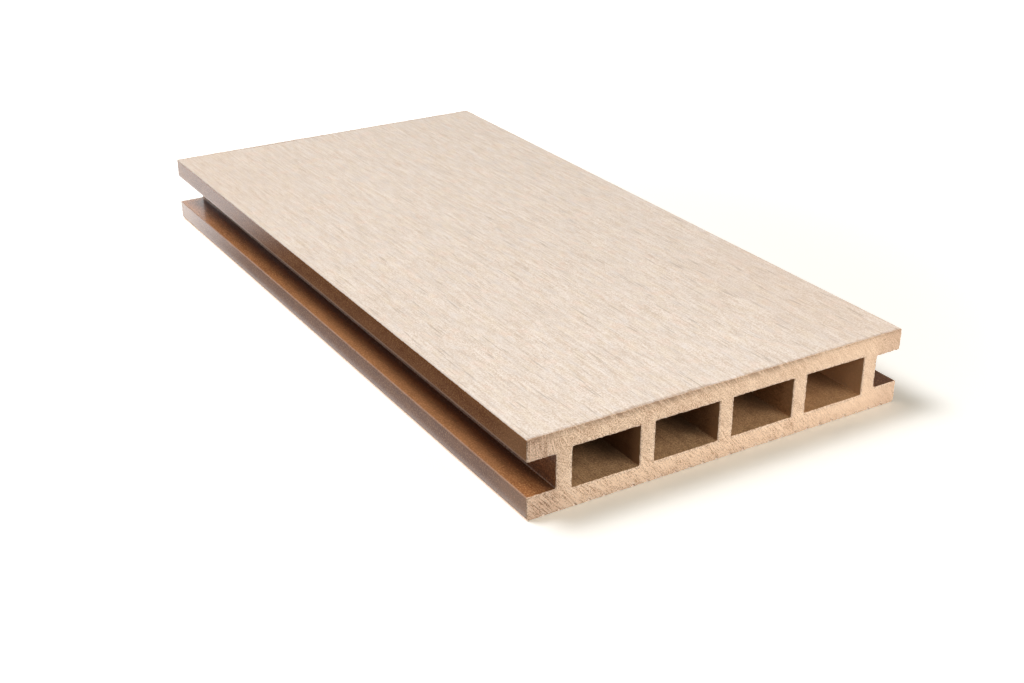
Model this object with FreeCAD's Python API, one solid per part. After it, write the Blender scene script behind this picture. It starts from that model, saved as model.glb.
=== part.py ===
import FreeCAD, Part

import math
import os

# Hollow decking board of wood-plastic composite, a short length sawn square at both ends.
# It is one extrusion: a plain upper face, a run of rectangular chambers, a clip groove
# between two lips along each side, and an underside with shallow lengthwise reeds.
# X runs across the board, Y along it and Z up. The origin is on the underside, at the
# middle of the width and of the length. All sizes are in millimetres.

# Board
BOARD_LENGTH = 300.0
BOARD_WIDTH = 150.0
BOARD_THICKNESS = 28.0

# Walls round the chambers
TOP_SKIN = 6.8
BOTTOM_SKIN = 6.8
INNER_WEB = 5.6
OUTER_WEB = 5.8
CHAMBER_COUNT = 4
CHAMBER_CORNER_RADIUS = 0.25

# Clip groove along each side, with a lip above and below it
GROOVE_DEPTH = 10.4
TOP_LIP = 7.8
BOTTOM_LIP = 8.2
GROOVE_CORNER_RADIUS = 0.6
LIP_EDGE_RADIUS = 0.4

# Long outer edges
TOP_EDGE_RADIUS = 0.4
BOTTOM_EDGE_RADIUS = 1.4

# Reeds: V notches between flat lands, with rounded shoulders
REED_PITCH = 5.5
REED_MOUTH = 1.2
REED_DEPTH = 0.8
REED_SHOULDER_RADIUS = 0.8
REED_EDGE_MARGIN = 5.0

# No arc takes up more than this share of the shorter side that it rounds
ARC_SHARE_OF_SIDE = 0.48


def section_point(x, z):
    """A point of the section, on the sawn end that faces -Y."""
    return FreeCAD.Vector(x, -BOARD_LENGTH / 2, z)


def rounded_wire(corners):
    """A closed wire through corners (x, z, radius), each turned by an arc tangent to its two sides."""
    starts, middles, ends = [], [], []
    for index, (x, z, radius) in enumerate(corners):
        before = section_point(*corners[index - 1][:2])
        corner = section_point(x, z)
        after = section_point(*corners[(index + 1) % len(corners)][:2])
        way_in = corner - before
        way_out = after - corner
        room = ARC_SHARE_OF_SIDE * min(way_in.Length, way_out.Length)
        half_turn = way_in.getAngle(way_out) / 2
        way_in.normalize()
        way_out.normalize()
        setback = min(radius * math.tan(half_turn), room)
        bulge = setback * (1 - math.cos(half_turn)) / math.sin(half_turn)
        towards_centre = (way_out - way_in).normalize()
        starts.append(corner - way_in * setback)
        middles.append(corner + towards_centre * bulge)
        ends.append(corner + way_out * setback)

    edges = []
    for index, (_, _, radius) in enumerate(corners):
        edges.append(Part.LineSegment(ends[index - 1], starts[index]).toShape())
        if radius > 0:
            edges.append(Part.Arc(starts[index], middles[index], ends[index]).toShape())
    return Part.Wire(edges)


def reed_centres():
    """The notches' places on the right half, between the land on the centre line and the edge margin."""
    reach = BOARD_WIDTH / 2 - REED_EDGE_MARGIN
    count = math.floor(reach / REED_PITCH + 0.5)
    return [(index + 0.5) * REED_PITCH for index in range(count)]


def right_half_corners():
    """The outline from the middle of the underside, round the right side, to the upper right edge."""
    corners = []
    for centre in reed_centres():
        corners.append((centre - REED_MOUTH / 2, 0.0, REED_SHOULDER_RADIUS))
        corners.append((centre, REED_DEPTH, 0.0))
        corners.append((centre + REED_MOUTH / 2, 0.0, REED_SHOULDER_RADIUS))

    edge = BOARD_WIDTH / 2
    groove_wall = edge - GROOVE_DEPTH
    groove_roof = BOARD_THICKNESS - TOP_LIP
    corners.append((edge, 0.0, BOTTOM_EDGE_RADIUS))
    corners.append((edge, BOTTOM_LIP, LIP_EDGE_RADIUS))
    corners.append((groove_wall, BOTTOM_LIP, GROOVE_CORNER_RADIUS))
    corners.append((groove_wall, groove_roof, GROOVE_CORNER_RADIUS))
    corners.append((edge, groove_roof, LIP_EDGE_RADIUS))
    corners.append((edge, BOARD_THICKNESS, TOP_EDGE_RADIUS))
    return corners


def outline_wire():
    """The whole outer outline: the right half and its mirror image."""
    right = right_half_corners()
    left = [(-x, z, radius) for x, z, radius in reversed(right)]
    return rounded_wire(right + left)


def chamber_wires():
    """The chambers, side by side between the outer webs."""
    row_width = BOARD_WIDTH - 2 * (GROOVE_DEPTH + OUTER_WEB)
    chamber_width = (row_width - (CHAMBER_COUNT - 1) * INNER_WEB) / CHAMBER_COUNT
    floor = BOTTOM_SKIN
    roof = BOARD_THICKNESS - TOP_SKIN
    wires = []
    for index in range(CHAMBER_COUNT):
        left = -row_width / 2 + index * (chamber_width + INNER_WEB)
        right = left + chamber_width
        corners = [(left, floor), (right, floor), (right, roof), (left, roof)]
        wires.append(rounded_wire([(x, z, CHAMBER_CORNER_RADIUS) for x, z in corners]))
    return wires


def decking_board():
    """The section with its chambers, extruded from one sawn end to the other."""
    section = Part.makeFace([outline_wire()] + chamber_wires(), "Part::FaceMakerBullseye")
    return section.extrude(FreeCAD.Vector(0, BOARD_LENGTH, 0))


os.makedirs("parts", exist_ok=True)
board = decking_board()
board.exportStep("parts/decking_board.step")
print(f"decking_board: valid {board.isValid()}, solids {len(board.Solids)}, volume {board.Volume:.0f} mm3")
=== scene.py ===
import math

import bpy
import numpy as np
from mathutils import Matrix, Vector
from mathutils.geometry import delaunay_2d_cdt


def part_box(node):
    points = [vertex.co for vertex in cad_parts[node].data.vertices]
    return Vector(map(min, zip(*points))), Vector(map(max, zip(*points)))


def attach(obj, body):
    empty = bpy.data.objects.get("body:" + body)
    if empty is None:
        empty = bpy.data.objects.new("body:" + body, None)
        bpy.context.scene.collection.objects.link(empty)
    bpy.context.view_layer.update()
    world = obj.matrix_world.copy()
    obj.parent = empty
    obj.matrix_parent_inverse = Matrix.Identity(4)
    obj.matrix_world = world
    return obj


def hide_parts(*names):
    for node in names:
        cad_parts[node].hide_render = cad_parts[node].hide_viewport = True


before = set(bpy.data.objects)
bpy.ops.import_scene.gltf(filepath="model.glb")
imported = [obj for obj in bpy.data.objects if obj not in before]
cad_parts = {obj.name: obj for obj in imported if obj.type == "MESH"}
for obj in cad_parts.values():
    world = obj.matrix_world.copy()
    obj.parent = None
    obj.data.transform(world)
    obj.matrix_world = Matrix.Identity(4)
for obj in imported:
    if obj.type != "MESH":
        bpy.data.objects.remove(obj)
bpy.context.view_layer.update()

# Hollow decking board of wood-plastic composite: brushed upper face, sawn ends, satin extruded skin.
# All sizes are in metres. X runs across the board, Y along it and Z up, from the middle of the underside.
MM = 0.001
BOARD = "decking_board"
low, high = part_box(BOARD)
THICKNESS = high.z
TOUCH = 0.001 * MM
SECTION_DIGITS = 7

# Mesh steps
BRUSHED_COLUMN = 0.5 * MM
SKIN_COLUMN = 0.8 * MM
CHAMBER_COLUMN = 0.4 * MM
SKIN_ROWS = 25
BRUSHED_ROWS = 6 * SKIN_ROWS
CHAMBER_ROWS = 6
UPPER_EDGE_DEPTH = 0.6 * MM
SAWN_STEP = 0.75 * MM
SAWN_ROW_STEP = 0.87 * SAWN_STEP
SAWN_SCATTER = 0.2 * SAWN_STEP
SAWN_CLEARANCE = 0.5 * SAWN_STEP
MERGE_WITHIN_MM = 1e-6
ALL_TRIANGLES = 0
SHARP_ANGLE = math.radians(40)
SEED = 7

# Relief of the brushed face. Its streaks are given by columns across, rows along and weight.
BRUSH_DEPTH = 0.10 * MM
BRUSH_STREAKS = ((11, 16, 0.5), (4, 9, 0.35), (1, 5, 0.25))
BRUSH_EDGE_FADE = 3.0 * MM

# Relief of the sawn ends. The lean is how far across a saw mark runs for each metre that it drops.
SAW_RIPPLE = 0.05 * MM
SAW_RIPPLE_PITCH = 2.3 * MM
FINER_RIPPLES = 2.7
SAW_LEAN_LEFT = 0.86
SAW_LEAN_RIGHT = 0.82
SAWN_ARRIS = 0.05 * MM
SAWN_ARRIS_SPREAD = 0.34 * MM
ARRIS_KNOT = 0.5 * MM
MITRE_LIMIT = 0.8

# Long outer edges: the turn from one point to the next that counts as one, and their reach from the sides
EDGE_TURN = 0.12
EDGE_REACH = 2.0 * MM

# Finishes, in the order of the board's material slots
SKIN, BRUSHED, SAWN, CHAMBER = range(4)

# Marks that the mesh carries for the finishes
MARKS = ("arris", "brush", "edge", "shelter")

# In the ranges below, a change starts at the first number and is full at the second.
# A band has two more numbers: it starts to fade at the third and is gone at the fourth.
SQUARELY = (0.5, 0.9)

# Ranges on the upper face
STROKES_FADE = (0.8 * low.y, 0.7 * high.y)
# Painted shade on the upper face: towards its right at the front and its left at the back
SIDE_PAINTED_SHADE = (20 * MM, 70 * MM)
FRONT_PAINTED_SHADE_FADE = (-90 * MM, -30 * MM)
BACK_PAINTED_SHADE = (30 * MM, 110 * MM)
TORN_BAND = (-50 * MM, -38 * MM, -14 * MM, -2 * MM)
TORN_REACH = 0.4 * MM
END_WEAR_FADE = (0.3 * MM, 1.6 * MM)
END_WEAR_WANDER = 2.4 * MM

# Ranges on the sawn ends, across the board and up it
LEFT_CORNER_ACROSS = (56 * MM, 68 * MM)
LEFT_CORNER_UP = (14 * MM, 20 * MM)
LEFT_CORNER_MIDDLE = 24 * MM
LEFT_CORNER_TURN = 0.75
LOWER_FADE = (4 * MM, 16 * MM)
LEFT_LIP = (-low.x - 14 * MM, -low.x - 3 * MM)
RIGHT_LIP = (high.x - 14 * MM, high.x - 4 * MM)
LIP_WANDER = 5 * MM
LOWER_LIP_REACH = 4 * MM
UNDER_EDGE = (THICKNESS - 3.2 * MM, THICKNESS - 0.2 * MM)
UNDER_EDGE_WANDER = 2.4 * MM
EDGE_LINE_UP = (THICKNESS - 1.4 * MM, THICKNESS - 0.1 * MM)
EDGE_LINE_ACROSS = (20 * MM, 36 * MM)
UNDERSIDE_FADE = (0.2 * MM, 6 * MM)
SCORED = (22 * MM, 70 * MM)
SCORED_SLANT = 2.2
WEB_BAND = (6.5 * MM, 9 * MM, 19.5 * MM, 22 * MM)
STAIN_GROWS = (-62 * MM, -40 * MM)
STAIN_EASES = (-25 * MM, 5 * MM)
STAIN_ENDS = (24 * MM, 44 * MM)
STAIN_WANDER = 12 * MM
CALM = (-60 * MM, 40 * MM)
SMOOTH = (20 * MM, 60 * MM)

# Ranges on the extruded skin. The groove's corner, where its shade is painted, is measured from the wall of the
# groove.
MIDDLE = (-10 * MM, 10 * MM)
OUTER_SIDE = (high.x - 0.5 * MM, high.x - 0.1 * MM)
# Painted light on the left ledges: it rises in from the front end and fades towards the back
PAINTED_LIGHT_FROM_FRONT = (low.y, low.y + 28 * MM)
PAINTED_LIGHT_FADE = (0.0, 60 * MM)
PALE_END_FADE = (2 * MM, 28 * MM)
GROOVE_CORNER_SHADE_FADE = (0.8 * MM, 4.0 * MM)
UPPER_LIP = (0.5 * THICKNESS, 0.6 * THICKNESS)
BRUSHED_OVER = (THICKNESS - 0.32 * MM, THICKNESS - 0.16 * MM)
BRUSHED_OVER_WANDER = 0.5 * MM

# Ranges in the chambers, across the board and into their depth
WARM_SIDE = (-5 * MM, 45 * MM)
WALL_PAINTED_SHADE_FADE = (-40 * MM, 60 * MM)
LIT_WALL = (40 * MM, 58 * MM)
MOUTH_FADE = (0.5 * MM, 7 * MM)
# Painted shade deep in the chambers, towards their right walls
DEEP_SHADE_DEPTH = (0.0, 14 * MM)
DEEP_SHADE_FADE = (0.0, 60 * MM)

# Places of the faces on the square that their colours are laid out on: left, bottom, right, top
BAKE_MAP = "OFBake"
BAKE_PLACES = {
    "upper": (0.004, 0.004, 0.440, 0.890),
    "front": (0.004, 0.900, 0.494, 0.994),
    "back": (0.504, 0.900, 0.994, 0.994),
    "outer": (0.450, 0.370, 0.994, 0.890),
    "chamber_0": (0.450, 0.004, 0.580, 0.360),
    "chamber_1": (0.590, 0.004, 0.720, 0.360),
    "chamber_2": (0.730, 0.004, 0.860, 0.360),
    "chamber_3": (0.870, 0.004, 0.994, 0.360),
}

# Camera at the photograph's viewing angle
CAMERA_PLACE = (-271.84 * MM, -466.63 * MM, 238.12 * MM)
CAMERA_TURN_DEG = (64.4645, -0.0824, -31.1554)
CAMERA_LENS_MM = 51.40
CAMERA_SENSOR_MM = 36.0

# Plain colours of the studio
WHITE = (1.0, 1.0, 1.0)
BLACK = (0.0, 0.0, 0.0)

# Floor: the colour of the light that it throws back, and the glow that it is seen by
FLOOR_REACH = 6.0
FLOOR_BOUNCE = (0.30, 0.29, 0.27)
FLOOR_GLOW_NEAR = (0.36, 0.33, 0.26)
# The glow under the board is painted light
FLOOR_GLOW_UNDER = (0.78, 0.55, 0.40)
FLOOR_GLOW_RISE = (0.12, 0.45)
FLOOR_COVER_FADE = 0.5 * MM

# Lights
AMBIENT = 0.09
KEY_PLACE = (-0.45, 0.38, 1.23)
KEY_SIZE = 0.60
KEY_WATTS = 14.6
FILL_PLACE = (0.05, -0.51, 0.37)
FILL_SIZE = 0.45
FILL_WATTS = 1.68
FRONT_PLACE = (0.26, -0.53, 0.03)
FRONT_SIZE = 0.05
FRONT_WATTS = 1.22

# Cards that only reflections show, by two opposite corners. Three lie side by side along the left side.
CARD_HEIGHT = 0.5 * MM
CARD_FRONT = -0.500
CARD_BACK = 0.700
DARK_EDGE = -0.500
DARK_TO_GREY = low.x - 12 * MM
GREY_TO_PALE = low.x - 1.8 * MM
PALE_EDGE = low.x - 0.5 * MM
END_CARD_Y = high.y + 50 * MM
DARK_FLAG_X = 0.300
CARD_CORNERS = {
    "dark_card": ((DARK_EDGE, CARD_FRONT, CARD_HEIGHT), (DARK_TO_GREY, CARD_BACK, CARD_HEIGHT)),
    "grey_card": ((DARK_TO_GREY, CARD_FRONT, CARD_HEIGHT), (GREY_TO_PALE, CARD_BACK, CARD_HEIGHT)),
    "pale_card": ((GREY_TO_PALE, CARD_FRONT, CARD_HEIGHT), (PALE_EDGE, CARD_BACK, CARD_HEIGHT)),
    "end_card": ((low.x, END_CARD_Y, 0.0), (low.x + 55 * MM, END_CARD_Y, 1.5 * THICKNESS)),
    "dark_flag": ((DARK_FLAG_X, -0.100, 0.0), (DARK_FLAG_X, 0.350, 0.450)),
}

# The cards' glow at the front, in the middle and at the back, and where it turns from one to the next
CARD_GLOWS = {
    "dark_card": (0.02, 0.02, 1.85),
    "grey_card": (1.00, 0.55, 2.80),
    "pale_card": (2.00, 1.50, 2.80),
    "end_card": (1.80, 1.80, 1.80),
    "dark_flag": (0.15, 0.15, 0.15),
}
CARD_FRONT_TO_MIDDLE = (-0.200, 0.076)
CARD_MIDDLE_TO_BACK = (0.076, 0.170)


def srgb(red, green, blue):
    """A colour as read off a screen, 0 to 255, as the linear values that a shader takes."""
    shares = (value / 255 for value in (red, green, blue))
    return tuple(s / 12.92 if s <= 0.04045 else ((s + 0.055) / 1.055) ** 2.4 for s in shares)


class Value:
    """A number that varies over a surface. Arithmetic on it adds Math nodes to its finish."""

    def __init__(self, finish, socket):
        self.finish = finish
        self.socket = socket

    def _with(self, operation, first, second):
        return self.finish.node("ShaderNodeMath", {"operation": operation}, {0: first, 1: second})

    def __add__(self, other):
        return self._with("ADD", self, other)

    def __sub__(self, other):
        return self._with("SUBTRACT", self, other)

    def __mul__(self, other):
        return self._with("MULTIPLY", self, other)

    def __truediv__(self, other):
        return self._with("DIVIDE", self, other)

    def __rsub__(self, other):
        return self._with("SUBTRACT", other, self)

    def __rtruediv__(self, other):
        return self._with("DIVIDE", other, self)

    __radd__ = __add__
    __rmul__ = __mul__


class Nodes:
    """A node tree that grows by Python expressions."""

    def __init__(self, tree):
        self.tree = tree

    def node(self, kind, settings=None, inputs=None, output=0):
        """Adds a node, makes its settings, fills its sockets with values or links, and returns an output."""
        made = self.tree.nodes.new(kind)
        for name, setting in (settings or {}).items():
            setattr(made, name, setting)
        for name, value in (inputs or {}).items():
            self.fill(made.inputs[name], value)
        return Value(self, made.outputs[output])

    def fill(self, socket, value):
        """Links a socket to a value that varies, or sets it to a plain number or colour."""
        if isinstance(value, Value):
            self.tree.links.new(value.socket, socket)
        elif socket.type == "RGBA":
            socket.default_value = (*value, 1.0)
        else:
            socket.default_value = value

    def looked_at(self):
        """1 for what is seen directly, in a gloss or through glass, and 0 for light that falls on things."""
        kinds = ("Is Camera Ray", "Is Glossy Ray", "Is Transmission Ray")
        direct, gloss, through = [self.node("ShaderNodeLightPath", output=kind) for kind in kinds]
        return direct + gloss + through


class Finish(Nodes):
    """One material: a Principled surface and the nodes that vary it over the board."""

    def __init__(self, name):
        self.material = bpy.data.materials.new(name)
        self.material.use_nodes = True
        super().__init__(self.material.node_tree)
        self.surface = self.tree.nodes["Principled BSDF"]
        self.place = self.node("ShaderNodeTexCoord", output="Object")

    def axis(self, name):
        """One coordinate of the place on the board, in metres."""
        return self.node("ShaderNodeSeparateXYZ", inputs={0: self.place}, output="XYZ".index(name))

    def facing(self, name):
        """How squarely the surface faces along an axis, from -1 to 1."""
        normal = self.node("ShaderNodeNewGeometry", output="Normal")
        return self.node("ShaderNodeSeparateXYZ", inputs={0: normal}, output="XYZ".index(name))

    def size(self, value):
        """A value without its sign."""
        return self.node("ShaderNodeMath", {"operation": "ABSOLUTE"}, {0: value})

    def stretched(self, across, along, deep=1.0, shift=0.0):
        """The place on the board in cells of this size, in metres, shifted to a fresh part of a pattern."""
        inputs = {0: self.place, 1: (across, along, deep)}
        cells = self.node("ShaderNodeVectorMath", {"operation": "DIVIDE"}, inputs)
        inputs = {0: cells, 1: (shift, shift * 1.7, shift * 2.3)}
        return self.node("ShaderNodeVectorMath", {"operation": "ADD"}, inputs)

    def noise(self, where, detail=2.0, roughness=0.5):
        """Soft random lightness, from 0 to 1 and mostly near a half."""
        inputs = {"Vector": where, "Scale": 1.0, "Detail": detail, "Roughness": roughness}
        return self.node("ShaderNodeTexNoise", inputs=inputs)

    def spots(self, where):
        """The distance to the nearest of many scattered points, in cells."""
        return self.node("ShaderNodeTexVoronoi", inputs={"Vector": where, "Scale": 1.0, "Randomness": 1.0})

    def step(self, value, start, end):
        """0 before start, 1 after end and a smooth rise between them."""
        inputs = {"Value": value, "From Min": start, "From Max": end}
        return self.node("ShaderNodeMapRange", {"interpolation_type": "SMOOTHSTEP"}, inputs)

    def band(self, value, start, end, fade, gone):
        """A step that falls back to 0 between fade and gone."""
        return self.step(value, start, end) * (1 - self.step(value, fade, gone))

    def blend(self, share, first, second):
        """Two colours mixed by a share."""
        made = self.node("ShaderNodeMix", {"data_type": "RGBA"}, output=2)
        sockets = made.socket.node.inputs
        self.fill(sockets[0], share)
        self.fill(sockets[6], first)
        self.fill(sockets[7], second)
        return made

    def mark(self, name):
        """A mark that the mesh carries, from 0 to 1."""
        return self.node("ShaderNodeAttribute", {"attribute_name": name}, output="Fac")

    def relief(self, height, depth, strength):
        """Fine bumps in the surface."""
        bump = self.node("ShaderNodeBump", inputs={"Strength": strength, "Distance": depth, "Height": height})
        self.set(Normal=bump)

    def set(self, **inputs):
        """Fills sockets of the surface, whose names are written with underscores."""
        for name, value in inputs.items():
            self.fill(self.surface.inputs[name.replace("_", " ")], value)


def brushed_finish():
    """Pale grey-beige face, brushed along its length: fine lines, short fibrous strokes and soft tints, with
    painted shade towards its right at the front and its left at the back.
    """
    f = Finish("brushed_face")
    across = f.axis("X")
    along = f.axis("Y")
    tint = f.noise(f.stretched(9 * MM, 26 * MM), 2.0, 0.6)
    blush = f.noise(f.stretched(5 * MM, 8 * MM, shift=31.7))
    cool = f.noise(f.stretched(3.5 * MM, 9 * MM, shift=61.3))
    warm = f.noise(f.stretched(2.5 * MM, 7 * MM, shift=71.9))
    lines = f.noise(f.stretched(0.75 * MM, 26 * MM, shift=53.1), 1.0)
    long_strokes = f.noise(f.stretched(1.5 * MM, 9 * MM, shift=3.1), 3.0, 0.65)
    strokes = f.noise(f.stretched(0.75 * MM, 3.4 * MM, shift=9.7), 2.0, 0.6)
    fibres = f.noise(f.stretched(0.45 * MM, 0.65 * MM, shift=17.3), 0.0)
    hairlines = f.noise(f.stretched(0.45 * MM, 10 * MM, shift=41.9), 0.0)
    clusters = f.step(f.noise(f.stretched(4 * MM, 14 * MM, shift=23.9)), 0.42, 0.66)

    fresh = 1 - 0.58 * f.step(along, *STROKES_FADE)
    scratched = f.step(hairlines, 0.60, 0.74) * fresh * (0.10 + 0.42 * clusters)
    right_front_painted_shade = f.step(across, *SIDE_PAINTED_SHADE) * (1 - f.step(along, *FRONT_PAINTED_SHADE_FADE))
    left_back_painted_shade = f.step(0 - across, *SIDE_PAINTED_SHADE) * f.step(along, *BACK_PAINTED_SHADE)
    torn = f.band(across, *TORN_BAND)
    from_end = high.y - f.size(along)
    ragged_end = from_end + END_WEAR_WANDER * (strokes - 0.5) - TORN_REACH * torn
    rounded_end = 1 - f.step(ragged_end, *END_WEAR_FADE)
    fine = 0.26 * strokes + 0.33 * fibres - 0.295
    shade = 0.16 * lines + 0.28 * long_strokes + fresh * fine + 0.295

    colour = f.blend(f.step(shade, 0.36, 0.66), srgb(214, 191, 168), srgb(248, 235, 223))
    colour = f.blend(f.step(tint, 0.36, 0.66) * 0.30, colour, srgb(226, 213, 201))
    colour = f.blend(f.step(blush, 0.52, 0.72) * 0.22, colour, srgb(244, 210, 188))
    colour = f.blend(f.step(cool, 0.52, 0.72) * 0.26, colour, srgb(222, 213, 209))
    colour = f.blend(f.step(warm, 0.48, 0.70) * 0.20, colour, srgb(240, 222, 192))
    colour = f.blend(scratched, colour, srgb(168, 147, 128))
    colour = f.blend(f.mark("brush") * 0.10, colour, srgb(186, 166, 150))
    # Painted shade: the face darker towards its right at the front and its left at the back, as the light falls
    colour = f.blend(0.22 * right_front_painted_shade + 0.18 * left_back_painted_shade, colour, srgb(214, 186, 162))
    colour = f.blend(rounded_end * (0.46 + 0.06 * torn), colour, srgb(158, 120, 86))
    f.set(Base_Color=colour, Roughness=0.60 + 0.2 * strokes, Specular_IOR_Level=0.35)
    height = 0.3 * lines + 0.4 * long_strokes + 0.6 * strokes + 0.5 * fibres - 0.4 * hairlines
    f.relief(height, 0.08 * MM, 0.8)
    return f.material


def sawn_finish():
    """Tan cut face: slanting saw marks over fine fibres, duller at the lips and under the upper edge, and
    painted lighter on its lower strip.
    """
    f = Finish("sawn_end")
    across = f.axis("X")
    up = f.axis("Z")
    lean = f.node("ShaderNodeMapRange", inputs={
        "Value": across, "From Min": low.x, "From Max": high.x,
        "To Min": SAW_LEAN_LEFT, "To Max": SAW_LEAN_RIGHT})
    left_corner = f.step(0 - across, *LEFT_CORNER_ACROSS) * f.step(up, *LEFT_CORNER_UP)
    stroke = across + lean * up - LEFT_CORNER_TURN * left_corner * (up - LEFT_CORNER_MIDDLE)

    def marks(pitch, length, shift):
        where = f.node("ShaderNodeCombineXYZ", inputs={"X": stroke / pitch + shift, "Y": up / length + shift})
        return f.noise(where, 1.0)

    fine_marks = marks(0.42 * MM, 2.6 * MM, 0.0)
    coarse_marks = marks(0.62 * MM, 8 * MM, 7.7)
    broad_marks = marks(2.2 * MM, 8 * MM, 3.3)
    scratches = marks(0.75 * MM, 7 * MM, 5.5)
    grain = f.noise(f.stretched(0.42 * MM, 0.42 * MM, 0.42 * MM), 0.0)
    mottle = f.noise(f.stretched(5 * MM, 5 * MM, 4 * MM, 4.4), 3.0, 0.6)
    crumbs = f.noise(f.stretched(0.5 * MM, 0.5 * MM, 0.5 * MM, 15.1), 1.0)
    flecks = 1 - f.step(f.spots(f.stretched(1.4 * MM, 1.4 * MM, 1.2 * MM, 8.1)), 0.10, 0.22)
    pits = 1 - f.step(f.spots(f.stretched(12 * MM, 12 * MM, 9 * MM, 2.7)), 0.024, 0.040)

    wander = mottle - 0.5
    lower = 1 - f.step(up, *LOWER_FADE)
    left_lip = f.step(LIP_WANDER * wander + LOWER_LIP_REACH * lower - across, *LEFT_LIP)
    right_lip = f.step(across + LIP_WANDER * wander, *RIGHT_LIP)
    under_edge = f.step(up + UNDER_EDGE_WANDER * wander, *UNDER_EDGE)
    edge_line = f.step(up, *EDGE_LINE_UP) * f.step(across, *EDGE_LINE_ACROSS)
    underside = 1 - f.step(up, *UNDERSIDE_FADE)
    scored = 0.16 + 0.84 * f.step(0 - across - SCORED_SLANT * up, *SCORED) + 0.45 * left_corner
    web = f.band(up, *WEB_BAND)
    stain_place = across + STAIN_WANDER * wander
    stained = 0.45 + 0.28 * f.step(stain_place, *STAIN_GROWS)
    stained = stained - 0.18 * f.step(stain_place, *STAIN_EASES) - 0.40 * f.step(stain_place, *STAIN_ENDS)
    stained = under_edge * stained * (0.50 + f.step(scratches, 0.36, 0.64))
    calm = f.step(across, *CALM)
    smooth = f.step(across, *SMOOTH)

    combed = 0.28 + 0.13 * lower
    rough = combed * fine_marks + (0.80 - combed) * grain + 0.21 * mottle + 0.17 * broad_marks - 0.59
    contrast = 1.66 - 0.88 * calm + lower * (1.05 - 1.05 * smooth)
    contrast = contrast - 0.40 * web * (1 - calm) - 0.16 * smooth
    # Painted light: the lower strip is made lighter, in place of light thrown up from the floor
    shade = 0.53 + rough * contrast + lower * (0.12 - 0.04 * calm)
    dull = 0.75 * left_lip + 0.10 * left_corner + 0.55 * right_lip
    pale_marks = f.step(coarse_marks, 0.48, 0.62) * scored * (0.75 - 0.30 * left_lip)
    dark_marks = f.step(1 - coarse_marks, 0.52, 0.66) * scored * 0.44
    rim = f.mark("arris")
    pale_crumbs = rim * f.step(crumbs, 0.46, 0.60) * (0.55 - 0.55 * under_edge)
    dark_crumbs = rim * f.step(1 - crumbs, 0.48, 0.58) * 0.50

    edge_brown = srgb(164, 134, 108)
    dark = f.blend(dull, srgb(180, 138, 105), srgb(114, 78, 54))
    light = f.blend(lower * 0.8, srgb(255, 226, 194), srgb(255, 219, 184))
    light = f.blend(dull, light, srgb(226, 189, 159))
    colour = f.blend(f.step(shade, 0.20, 0.82), dark, light)
    colour = f.blend(pale_marks, colour, srgb(250, 222, 194))
    colour = f.blend(dark_marks, colour, srgb(160, 122, 94))
    colour = f.blend(flecks * 0.15, colour, srgb(150, 102, 68))
    colour = f.blend(underside * 0.17, colour, srgb(150, 108, 76))
    colour = f.blend(stained, colour, edge_brown)
    colour = f.blend(edge_line * 0.30, colour, edge_brown)
    colour = f.blend(pale_crumbs, colour, srgb(246, 224, 200))
    colour = f.blend(dark_crumbs, colour, srgb(120, 84, 58))
    colour = f.blend(pits * 0.4, colour, srgb(74, 50, 35))
    f.set(Base_Color=colour, Roughness=0.86, Specular_IOR_Level=0.25)
    f.relief(0.4 * grain + 0.5 * fine_marks + 0.8 * coarse_marks * scored - 1.2 * pits, 0.06 * MM, 0.3)
    return f.material


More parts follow.
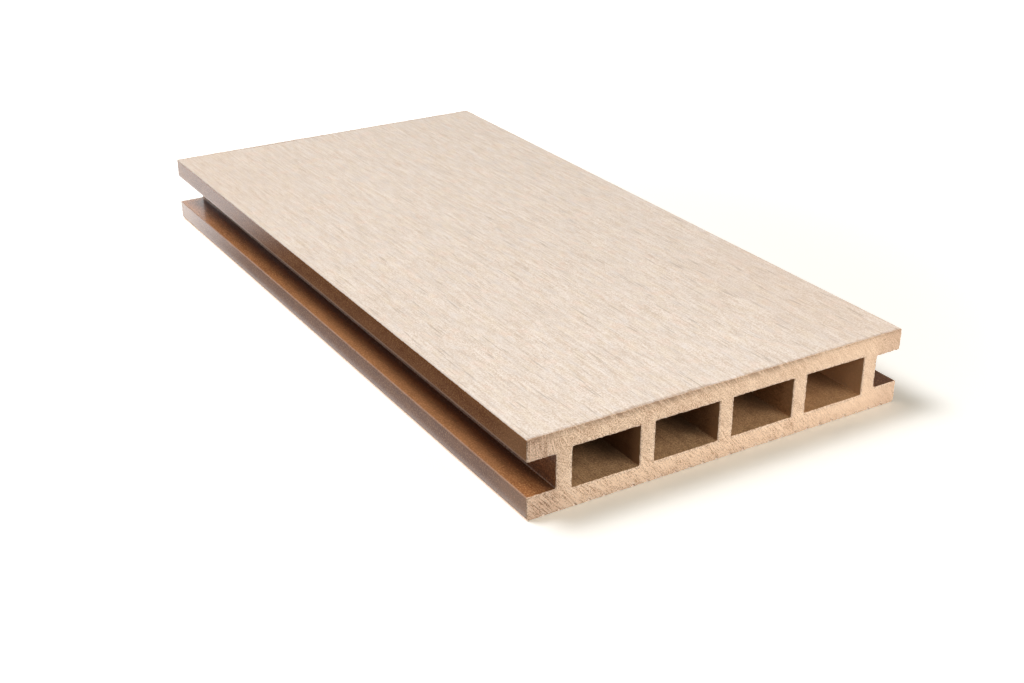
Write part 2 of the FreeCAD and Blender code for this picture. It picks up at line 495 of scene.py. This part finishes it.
def skin_finish(groove_wall):
    """Satin brown extruded skin: fine tan flecks and faint die lines, brushed pale along the upper edge, with
    painted shade and light on its sides and ledges and painted highlights along the lip edges.
    """
    f = Finish("extruded_skin")
    across = f.axis("X")
    along = f.axis("Y")
    up = f.axis("Z")
    lines = f.noise(f.stretched(0.6 * MM, 90 * MM, 0.6 * MM), 2.0, 0.6)
    mottle = f.noise(f.stretched(3 * MM, 9 * MM, 3 * MM, 6.2), 3.0, 0.6)
    grain = f.noise(f.stretched(0.5 * MM, 0.7 * MM, 0.5 * MM, 1.9), 2.0, 0.7)
    ragged = f.noise(f.stretched(0.5 * MM, 0.8 * MM, 0.5 * MM, 12.4), 2.0, 0.6)
    specks = 1 - f.step(f.spots(f.stretched(0.8 * MM, 1.0 * MM, 0.8 * MM, 5.1)), 0.12, 0.32)

    outer = f.step(f.size(across), *OUTER_SIDE)
    near_end = outer * (1 - f.step(high.y - f.size(along), *PALE_END_FADE))
    ledge = f.step(f.facing("Z"), *SQUARELY)
    left_ledge = ledge * f.step(0 - across, *MIDDLE)
    right_ledge_painted_shade = ledge * f.step(across, *MIDDLE)
    left_ledge_painted_light = left_ledge * f.step(along, *PAINTED_LIGHT_FROM_FRONT) * (1 - 0.85 * f.step(along, *PAINTED_LIGHT_FADE))
    groove_corner_shade = left_ledge * (1 - f.step(0 - across - groove_wall, *GROOVE_CORNER_SHADE_FADE))
    edge = f.mark("edge")
    scuffs_and_highlights = f.step(edge, 0.30, 0.95) * f.step(ragged, 0.30, 0.55)
    lip_edge_highlight = f.step(edge, 0.02, 0.45) * f.step(up, *UPPER_LIP)
    brushed_over = f.step(up + BRUSHED_OVER_WANDER * (ragged - 0.5), *BRUSHED_OVER)

    colour = f.blend(f.step(mottle, 0.3, 0.7), srgb(150, 96, 58), srgb(174, 116, 72))
    colour = f.blend(f.step(grain, 0.52, 0.68) * 0.72, colour, srgb(222, 162, 106))
    colour = f.blend(f.step(1 - grain, 0.53, 0.69) * 0.62, colour, srgb(92, 56, 32))
    colour = f.blend(f.step(lines, 0.52, 0.72) * 0.25, colour, srgb(116, 78, 52))
    # Painted shade: the outer sides darker than the groove floors, as the light falls
    colour = f.blend(outer * 0.14, colour, srgb(136, 68, 32))
    colour = f.blend(near_end * 0.32, colour, srgb(222, 170, 124))
    # Painted light: the left groove floor and lower lip's upper face made lighter, away from the front end
    colour = f.blend(left_ledge_painted_light * 0.38, colour, srgb(202, 146, 102))
    # Painted shade in the inner corner of the left groove, under its upper lip
    colour = f.blend(groove_corner_shade * 0.75, colour, srgb(84, 54, 34))
    # Painted shade on the right lower lip's upper face, under the upper lip
    colour = f.blend(right_ledge_painted_shade * 0.60, colour, srgb(92, 66, 52))
    colour = f.blend(specks * 0.35, colour, srgb(214, 156, 104))
    # Painted highlight along the upper lip's rounded edges
    colour = f.blend(lip_edge_highlight * 0.62, colour, srgb(206, 160, 126))
    # Wear and painted highlight: pale broken lines along the rounded long edges
    colour = f.blend(scuffs_and_highlights * 0.50, colour, srgb(196, 166, 146))
    colour = f.blend(brushed_over, colour, srgb(218, 203, 188))
    f.set(Base_Color=colour, Roughness=0.20 + 0.10 * mottle + 0.3 * brushed_over, Specular_IOR_Level=0.42)
    f.relief(0.5 * lines + 0.4 * grain, 0.03 * MM, 0.5)
    return f.material


def chamber_finish():
    """The inside of the chambers: the same brown, duller and more mottled where nothing polished it, with
    painted shade on the walls and deep in towards each right wall, and painted light near the mouths and
    towards the right-hand chambers.
    """
    f = Finish("chamber_skin")
    across = f.axis("X")
    depth = high.y - f.size(f.axis("Y"))
    mottle = f.noise(f.stretched(2.2 * MM, 5 * MM, 2.2 * MM, 3.3), 3.0, 0.65)
    grain = f.noise(f.stretched(0.42 * MM, 0.70 * MM, 0.42 * MM, 7.7), 2.0, 0.6)
    streaks = f.noise(f.stretched(0.8 * MM, 9 * MM, 0.8 * MM, 13.7), 2.0, 0.6)
    pits = 1 - f.step(f.spots(f.stretched(6 * MM, 7 * MM, 6 * MM, 1.3)), 0.05, 0.09)

    wall = f.step(f.size(f.facing("X")), *SQUARELY)
    wall_painted_shade = wall * (0.80 - 0.78 * f.step(across, *WALL_PAINTED_SHADE_FADE))
    lit_wall = wall * f.step(across, *LIT_WALL)
    mouth = wall * (1 - f.step(depth, *MOUTH_FADE))
    sheltered = f.step(f.mark("shelter"), 0.45, 0.95) * f.step(depth, *DEEP_SHADE_DEPTH)
    sheltered = sheltered * (1 - 0.4 * f.step(across, *DEEP_SHADE_FADE))

    colour = f.blend(f.step(mottle, 0.28, 0.72), srgb(161, 121, 82), srgb(192, 151, 108))
    colour = f.blend(f.step(grain, 0.52, 0.66) * 0.68, colour, srgb(228, 186, 140))
    colour = f.blend(f.step(1 - grain, 0.53, 0.67) * 0.64, colour, srgb(106, 75, 47))
    colour = f.blend(f.step(streaks, 0.50, 0.70) * 0.22, colour, srgb(206, 164, 118))
    colour = f.blend(f.step(1 - streaks, 0.52, 0.70) * 0.26, colour, srgb(108, 76, 48))
    # Painted light: the right-hand chambers lighter and warmer
    colour = f.blend(f.step(across, *WARM_SIDE) * 0.28, colour, srgb(216, 158, 104))
    # Painted shade: the chamber walls darker, most in the left-hand chambers
    colour = f.blend(wall_painted_shade, colour, srgb(104, 68, 44))
    colour = f.blend(lit_wall * 0.58, colour, srgb(236, 202, 160))
    # Painted shade deep in each chamber, towards its right wall
    colour = f.blend(sheltered * (0.75 - 0.40 * wall), colour, srgb(70, 45, 28))
    # Painted light on the walls near the chambers' mouths
    colour = f.blend(mouth * 0.40, colour, srgb(224, 176, 128))
    colour = f.blend(pits * 0.3, colour, srgb(84, 58, 38))
    f.set(Base_Color=colour, Roughness=0.55 + 0.2 * mottle, Specular_IOR_Level=0.3)
    f.relief(0.6 * grain + 0.5 * mottle - pits, 0.08 * MM, 0.6)
    return f.material


def section_loops(node):
    """The section's closed loops of (x, z), with the solid on their left: the outline, then the chambers."""
    mesh = node.data
    places = np.array([vertex.co for vertex in mesh.vertices])
    on_end = np.abs(places[:, 1] - low.y) < TOUCH
    mesh.calc_loop_triangles()
    edges = set()
    for triangle in mesh.loop_triangles:
        corners = list(triangle.vertices)
        if on_end[corners].all():
            keys = [tuple(np.round(places[corner, [0, 2]], SECTION_DIGITS)) for corner in corners]
            edges.update(zip(keys, keys[1:] + keys[:1]))
    onward = {start: end for start, end in edges if (end, start) not in edges}
    loops = []
    while onward:
        here = min(onward)
        loop = []
        while here in onward:
            loop.append(here)
            here = onward.pop(here)
        loops.append(np.array(loop))
    return sorted(loops, key=lambda loop: (-np.ptp(loop[:, 0]), loop[0, 0]))


def spaced_out(loop, step):
    """A loop with its long sides divided. step gives the largest gap allowed from one corner to the next."""
    points = []
    for start, end in zip(loop, np.roll(loop, -1, axis=0)):
        count = max(1, math.ceil(np.linalg.norm(end - start) / step(start, end)))
        points.extend(start + (end - start) * index / count for index in range(count))
    return np.array(points)


def into_solid(loop):
    """Each point's direction into the solid, long enough to move both of its sides by one unit."""
    along = np.roll(loop, -1, axis=0) - loop
    along /= np.linalg.norm(along, axis=1)[:, None]
    after = np.stack([-along[:, 1], along[:, 0]], 1)
    both = after + np.roll(after, 1, axis=0)
    return both * (2 / np.maximum((both ** 2).sum(1), MITRE_LIMIT))[:, None]


def inside(points, loops):
    """True for each point in the solid: on its way out it crosses an odd number of the loops' sides."""
    odd = np.zeros(len(points), bool)
    for loop in loops:
        for (ax, az), (bx, bz) in zip(loop, np.roll(loop, -1, axis=0)):
            spans = (points[:, 1] < az) != (points[:, 1] < bz)
            if spans.any():
                odd ^= spans & (points[:, 0] < ax + (points[:, 1] - az) * (bx - ax) / (bz - az))
    return odd


def smoothed(values, window):
    """Values averaged along their first axis with a rounded window of so many steps."""
    weights = np.hanning(window + 2)[1:-1]
    padded = np.pad(values, ((window, window), (0, 0)), mode="reflect")
    total = sum(weight * padded[index:index + len(values) + window] for index, weight in enumerate(weights))
    return total[window // 2:window // 2 + len(values)] / weights.sum()


class Shell:
    """The board's mesh in the making: points, and faces with a finish and a place in the colour layout."""

    def __init__(self):
        self.points = []
        self.marks = {name: [] for name in MARKS}
        self.faces = []
        self.finishes = []
        self.layout = []
        self.count = 0

    def add_points(self, points, **marks):
        """Adds points of any array shape that ends in x, y, z, and returns their numbers in that shape."""
        shape = np.shape(points)[:-1]
        self.points.append(np.reshape(points, (-1, 3)))
        for name, values in self.marks.items():
            values.append(np.broadcast_to(marks.get(name, 0.0), shape).ravel())
        numbers = np.arange(self.count, self.count + int(np.prod(shape))).reshape(shape)
        self.count += numbers.size
        return numbers

    def add_faces(self, numbers, shares, place, finish):
        """Adds faces by corner numbers, and by the corners' shares of a layout place's width and height."""
        left, bottom, right, top = BAKE_PLACES[place]
        self.faces.extend(numbers.tolist())
        self.layout.append(np.reshape(shares, (-1, 2)) * (right - left, top - bottom) + (left, bottom))
        self.finishes.extend([finish] * len(numbers))

    def add_grid(self, numbers, shares, place, finish):
        """Quads between a grid's points, facing out where rows run along the board and columns round it."""
        def corners(of, width):
            around = [of[:-1, :-1], of[1:, :-1], of[1:, 1:], of[:-1, 1:]]
            return np.stack(around, 2).reshape(-1, 4, *width)
        self.add_faces(corners(numbers, ()), corners(shares, (2,)), place, finish)

    def add_seam(self, fine, coarse, fine_shares, coarse_shares, place, finish, flipped):
        """Triangles between a row of closely spaced points and a row of widely spaced ones."""
        ratio = (len(fine) - 1) // (len(coarse) - 1)
        numbers = []
        shares = []
        for index in range(len(coarse) - 1):
            begin = index * ratio
            middle = begin + ratio // 2
            for step in range(begin, begin + ratio):
                near = index if step < middle else index + 1
                numbers.append((fine[step], fine[step + 1], coarse[near]))
                shares.append((fine_shares[step], fine_shares[step + 1], coarse_shares[near]))
            numbers.append((fine[middle], coarse[index + 1], coarse[index]))
            shares.append((fine_shares[middle], coarse_shares[index + 1], coarse_shares[index]))
        turn = slice(None, None, -1) if flipped else slice(None)
        self.add_faces(np.array(numbers)[:, turn], np.array(shares)[:, turn], place, finish)

    def mesh(self, name, materials):
        """The finished mesh, with its materials, marks and colour layout."""
        mesh = bpy.data.meshes.new(name)
        mesh.from_pydata(np.concatenate(self.points), [], self.faces)
        for material in materials:
            mesh.materials.append(material)
        mesh.polygons.foreach_set("material_index", self.finishes)
        for mark, values in self.marks.items():
            mesh.attributes.new(mark, "FLOAT", "POINT").data.foreach_set("value", np.concatenate(values))
        mesh.uv_layers.new(name=BAKE_MAP).data.foreach_set("uv", np.concatenate(self.layout).ravel())
        mesh.shade_smooth()
        mesh.set_sharp_from_angle(angle=SHARP_ANGLE)
        return mesh


def lengths_along(loop):
    """The distance along a closed loop from its first point to each point, and back to the first."""
    sides = np.linalg.norm(np.roll(loop, -1, axis=0) - loop, axis=1)
    return np.concatenate([[0.0], np.cumsum(sides)])


def long_edges(loop):
    """1 at the points of the outline that round the board's long outer edges, and 0 at the others."""
    ahead = np.roll(loop, -1, axis=0) - loop
    behind = np.roll(ahead, 1, axis=0)
    turn = behind[:, 0] * ahead[:, 1] - behind[:, 1] * ahead[:, 0]
    turn /= np.linalg.norm(behind, axis=1) * np.linalg.norm(ahead, axis=1)
    return np.clip(turn / EDGE_TURN, 0, 1) * (np.abs(loop[:, 0]) > high.x - EDGE_REACH)


def groove_wall_place(outline):
    """How far the clip grooves' walls stand from the middle of the board, read off at half height."""
    half_way_up = np.abs(outline[:, 1] - THICKNESS / 2) < SKIN_COLUMN
    return np.abs(outline[half_way_up, 0]).min()


def broken_arris(rng, lengths):
    """How wide the arris at a sawn end is at each point of a closed loop: random, but changing gradually."""
    count = round(lengths[-1] / ARRIS_KNOT)
    draws = rng.random(count)
    knots = np.arange(count + 1) * lengths[-1] / count
    return SAWN_ARRIS + SAWN_ARRIS_SPREAD * np.interp(lengths[:-1], knots, np.append(draws, draws[0]))


def rows_along(count):
    """Places of a mesh's rows along the board, from one sawn end to the other."""
    return np.linspace(low.y, high.y, count + 1)


def layout_shares(across, rows):
    """A grid of shares of a layout place, from its columns' shares and its rows' places along the board."""
    return np.stack(np.meshgrid(across, (rows - low.y) / (high.y - low.y)), 2)


def swept(loop, rows, arris):
    """The loop's points repeated at each row. The first and the last row stand back from the sawn ends."""
    grid = np.empty((len(rows), len(loop), 3))
    grid[..., 0] = loop[:, 0]
    grid[..., 1] = rows[:, None]
    grid[..., 2] = loop[:, 1]
    grid[0, :, 1] += arris
    grid[-1, :, 1] -= arris
    return grid


def brushed_relief(rng, rows, columns):
    """The depth of the brush strokes, from 0 to 1: long shallow streaks with finer scratches among them."""
    total = np.zeros((rows, columns))
    for across, along, weight in BRUSH_STREAKS:
        field = rng.standard_normal((rows, columns))
        field = smoothed(smoothed(field, along).T, across).T
        total += weight * field / field.std()
    return np.clip(0.5 + 0.3 * total, 0.0, 1.0)


def add_upper_face(shell, rng, loop, lengths, arris):
    """The brushed upper face with its two long edges. Gives its points' numbers."""
    rows = rows_along(BRUSHED_ROWS)
    grid = swept(loop, rows, arris)
    from_edge = np.minimum(lengths, lengths[-1] - lengths)
    relief = brushed_relief(rng, len(rows), len(loop)) * np.clip(from_edge / BRUSH_EDGE_FADE, 0, 1)
    grid[..., 2] -= BRUSH_DEPTH * relief
    numbers = shell.add_points(grid, brush=relief)
    shares = layout_shares(lengths / lengths[-1], rows)
    flat = np.flatnonzero(loop[:, 1] > THICKNESS - TOUCH)
    strips = ((0, flat[0], SKIN), (flat[0], flat[-1], BRUSHED), (flat[-1], len(loop) - 1, SKIN))
    for begin, end, finish in strips:
        shell.add_grid(numbers[:, begin:end + 1], shares[:, begin:end + 1], "upper", finish)
    return numbers


def add_sides(shell, loop, lengths, arris, edge, upper_numbers):
    """The sides, the grooves and the underside, seamed to the upper face. Gives their points' numbers."""
    rows = rows_along(SKIN_ROWS)
    numbers = shell.add_points(swept(loop, rows, arris), edge=edge)
    across = (lengths - lengths[0]) / (lengths[-1] - lengths[0])
    shares = layout_shares(across[1:-1], rows)
    shell.add_grid(numbers, shares, "outer", SKIN)
    seam_shares = layout_shares(across[[0, -1]], rows_along(BRUSHED_ROWS))
    seams = ((upper_numbers[:, -1], numbers[:, 0], seam_shares[:, 0], shares[:, 0], False),
             (upper_numbers[:, 0], numbers[:, -1], seam_shares[:, -1], shares[:, -1], True))
    for fine, coarse, fine_shares, coarse_shares, flipped in seams:
        shell.add_seam(fine, coarse, fine_shares, coarse_shares, "outer", SKIN, flipped)
    return numbers


def add_chamber(shell, loop, lengths, arris, place):
    """One chamber, from end to end, marked more and more towards its right wall. Gives its points' numbers."""
    rows = rows_along(CHAMBER_ROWS)
    shelter = (loop[:, 0] - loop[:, 0].min()) / np.ptp(loop[:, 0])
    numbers = shell.add_points(swept(loop, rows, arris), shelter=shelter)
    closed = np.column_stack([numbers, numbers[:, :1]])
    shell.add_grid(closed, layout_shares(lengths / lengths[-1], rows), place, CHAMBER)
    return numbers


def saw_ripple(points, phase):
    """How deep the saw's teeth cut into the plane of an end, in waves that lean as the blade did."""
    lean = np.interp(points[:, 0], (low.x, high.x), (SAW_LEAN_LEFT, SAW_LEAN_RIGHT))
    stroke = 2 * math.pi * (points[:, 0] + lean * points[:, 1]) / SAW_RIPPLE_PITCH
    waves = np.sin(stroke + phase) + np.sin(FINER_RIPPLES * stroke + 2 * phase)
    return SAW_RIPPLE * (0.5 + 0.25 * waves)


def sawn_points(rng, loops):
    """Scattered points on a sawn end, inside the solid and clear of its edges."""
    across = np.arange(low.x, high.x, SAWN_STEP)
    up = np.arange(low.z, high.z, SAWN_ROW_STEP)
    grid = np.stack(np.meshgrid(across, up), 2)
    grid[1::2, :, 0] += SAWN_STEP / 2
    points = grid.reshape(-1, 2)
    points = points + rng.uniform(-1, 1, points.shape) * SAWN_SCATTER
    points = points[inside(points, loops)]
    rims = np.concatenate(loops)
    clear = [np.min(((rims - point) ** 2).sum(1)) > SAWN_CLEARANCE ** 2 for point in points]
    return points[clear]


def add_sawn_end(shell, rng, rims, ring_numbers, end, inward, place):
    """One sawn end: a narrow broken arris round each loop, and the rippled cut face inside it."""
    loops = [loop for loop, _ in rims]
    faces = [loop + into_solid(loop) * arris[:, None] for loop, arris in rims]
    points = np.concatenate(faces + [sawn_points(rng, faces)])
    phase = rng.uniform(0, 6)
    cut = np.insert(points, 1, end + inward * saw_ripple(points, phase), axis=1)
    arris = np.zeros(len(points))
    arris[:sum(len(loop) for loop in loops)] = 1.0
    numbers = shell.add_points(cut, arris=arris)

    def shares(at):
        return (at - (low.x, low.z)) / (high.x - low.x, high.z - low.z)

    edges = []
    begin = 0
    order = slice(None) if inward > 0 else slice(None, None, -1)
    for loop, face, ring in zip(loops, faces, ring_numbers):
        own = np.arange(begin, begin + len(loop))
        edges.extend(zip(own.tolist(), np.roll(own, -1).tolist()))
        closed = np.append(own, own[0]) - begin
        band = [numbers[own][closed], ring[closed]]
        band_shares = [shares(face)[closed], shares(loop)[closed]]
        shell.add_grid(np.array(band[order]), np.array(band_shares[order]), place, SAWN)
        begin += len(loop)

    flat = [Vector(point) for point in points / MM]
    _, _, triangles, origins, _, _ = delaunay_2d_cdt(flat, edges, [], ALL_TRIANGLES, MERGE_WITHIN_MM)
    corners = np.array([[origins[corner][0] for corner in triangle] for triangle in triangles])
    corners = corners[inside(points[corners].mean(1), faces)]
    if inward < 0:
        corners = corners[:, ::-1]
    shell.add_faces(numbers[corners], shares(points)[corners], place, SAWN)


def divided_outline(outline):
    """The outline with its sides divided, and the number of its points on the upper face and its long edges.

    It starts at the upper right edge, crosses the upper face and goes on round the board.
    """
    def column(start, end):
        return BRUSHED_COLUMN if min(start[1], end[1]) > THICKNESS - TOUCH else SKIN_COLUMN

    outline = spaced_out(outline, column)
    near_top = outline[:, 1] > THICKNESS - UPPER_EDGE_DEPTH
    first = np.flatnonzero(near_top & ~np.roll(near_top, 1))[0]
    return np.roll(outline, -first, axis=0), int(near_top.sum())


def dressed_board(node):
    """The whole board as one closed mesh on the CAD section, with its brushed, sawn and extruded surfaces."""
    rng = np.random.default_rng(SEED)
    shell = Shell()
    outline, *chambers = section_loops(node)
    outline, upper_count = divided_outline(outline)
    lengths = lengths_along(outline)
    arris = broken_arris(rng, lengths)
    edge = long_edges(outline)

    upper = slice(upper_count)
    rest = slice(upper_count, None)
    upper_numbers = add_upper_face(shell, rng, outline[upper], lengths[upper], arris[upper])
    rest_lengths = lengths[upper_count - 1:]
    rest_numbers = add_sides(shell, outline[rest], rest_lengths, arris[rest], edge[rest], upper_numbers)
    rims = [(outline, arris)]
    rings = [np.concatenate([upper_numbers[[0, -1]], rest_numbers[[0, -1]]], axis=1)]
    for index, chamber in enumerate(chambers):
        loop = spaced_out(chamber, lambda start, end: CHAMBER_COLUMN)
        lengths = lengths_along(loop)
        arris = broken_arris(rng, lengths)
        numbers = add_chamber(shell, loop, lengths, arris, f"chamber_{index}")
        rims.append((loop, arris))
        rings.append(numbers[[0, -1]])
    add_sawn_end(shell, rng, rims, [ring[0] for ring in rings], low.y, 1, "front")
    add_sawn_end(shell, rng, rims, [ring[1] for ring in rings], high.y, -1, "back")

    skin = skin_finish(groove_wall_place(outline))
    materials = [skin, brushed_finish(), sawn_finish(), chamber_finish()]
    board = bpy.data.objects.new("board", shell.mesh("board", materials))
    bpy.context.scene.collection.objects.link(board)
    return board


def sheet(name, near, far, material):
    """A rectangle of the studio between two opposite corners: flat, or upright where their heights differ."""
    mesh = bpy.data.meshes.new(name)
    upright = far[2] > near[2]
    second = (far[0], far[1] if upright else near[1], near[2])
    fourth = (near[0], near[1] if upright else far[1], far[2])
    mesh.from_pydata([near, second, far, fourth], [], [(0, 1, 2, 3)])
    mesh.materials.append(material)
    made = bpy.data.objects.new(name, mesh)
    bpy.context.scene.collection.objects.link(made)
    return made


def studio_floor():
    """A plain pale floor, seen as white away from the board, with the board's shadow near it tinted cream, and
    painted light under the board.
    """
    f = Finish("floor")
    looked_at = f.looked_at()
    distance = f.node("ShaderNodeVectorMath", {"operation": "LENGTH"}, {0: f.place}, "Value")
    glow = f.blend(f.step(distance, *FLOOR_GLOW_RISE), FLOOR_GLOW_NEAR, WHITE)
    # Painted light: the floor under the board glows cream, where it lies in the board's shade
    under_board_painted_light = 1 - f.step(f.size(f.axis("X")), high.x - FLOOR_COVER_FADE, high.x)
    under_board_painted_light = under_board_painted_light * (1 - f.step(f.size(f.axis("Y")), high.y - FLOOR_COVER_FADE, high.y))
    glow = f.blend(under_board_painted_light, glow, FLOOR_GLOW_UNDER)
    f.set(Base_Color=f.blend(looked_at, FLOOR_BOUNCE, WHITE), Roughness=1.0, Specular_IOR_Level=0.0)
    f.set(Emission_Color=f.blend(looked_at, BLACK, glow), Emission_Strength=1.0)
    sheet("floor", (-FLOOR_REACH, -FLOOR_REACH, 0.0), (FLOOR_REACH, FLOOR_REACH, 0.0), f.material)


def reflected_cards():
    """Cards beside the board, out of the camera's sight, for its satin sides to reflect."""
    for name, (near, far) in CARD_CORNERS.items():
        f = Finish(name)
        along = f.axis("Y")
        front, middle, back = [(glow, glow, glow) for glow in CARD_GLOWS[name]]
        glow = f.blend(f.step(along, *CARD_FRONT_TO_MIDDLE), front, middle)
        glow = f.blend(f.step(along, *CARD_MIDDLE_TO_BACK), glow, back)
        f.set(Base_Color=BLACK, Roughness=1.0, Specular_IOR_Level=0.0)
        f.set(Emission_Color=glow, Emission_Strength=1.0)
        card = sheet(name, near, far, f.material)
        card.visible_camera = False
        card.visible_diffuse = False
        card.visible_shadow = False


def studio_world():
    """Even light from all round, seen as white."""
    world = bpy.data.worlds.new("studio")
    world.use_nodes = True
    n = Nodes(world.node_tree)
    ambient = n.node("ShaderNodeBackground", inputs={"Color": WHITE, "Strength": AMBIENT})
    white = n.node("ShaderNodeBackground", inputs={"Color": WHITE, "Strength": 1.0})
    seen = n.node("ShaderNodeMixShader", inputs={0: n.looked_at(), 1: ambient, 2: white})
    n.fill(world.node_tree.nodes["World Output"].inputs["Surface"], seen)
    bpy.context.scene.world = world


def soft_box(name, place, size, watts, only=None):
    """A square soft light that faces the middle of the board. A collection, if given, is all that it lights."""
    data = bpy.data.lights.new(name, "AREA")
    data.shape = "SQUARE"
    data.size = size
    data.energy = watts
    light = bpy.data.objects.new(name, data)
    light.location = place
    light.visible_camera = False
    light.rotation_euler = (-Vector(place)).to_track_quat("-Z", "Y").to_euler()
    bpy.context.scene.collection.objects.link(light)
    light.light_linking.receiver_collection = only


def photo_camera():
    """The camera at the photograph's viewing angle, as fitted to the board's edges."""
    data = bpy.data.cameras.new("camera")
    data.lens = CAMERA_LENS_MM
    data.sensor_width = CAMERA_SENSOR_MM
    camera = bpy.data.objects.new("camera", data)
    camera.location = CAMERA_PLACE
    camera.rotation_euler = [math.radians(angle) for angle in CAMERA_TURN_DEG]
    bpy.context.scene.collection.objects.link(camera)
    bpy.context.scene.camera = camera


board = dressed_board(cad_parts[BOARD])
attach(board, "root")
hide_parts(BOARD)
studio_floor()
reflected_cards()
studio_world()
goods = bpy.data.collections.new("goods")
goods.objects.link(board)
soft_box("key_light", KEY_PLACE, KEY_SIZE, KEY_WATTS)
soft_box("fill_light", FILL_PLACE, FILL_SIZE, FILL_WATTS, goods)
soft_box("front_light", FRONT_PLACE, FRONT_SIZE, FRONT_WATTS, goods)
photo_camera()
bpy.context.scene.view_settings.view_transform = "Standard"
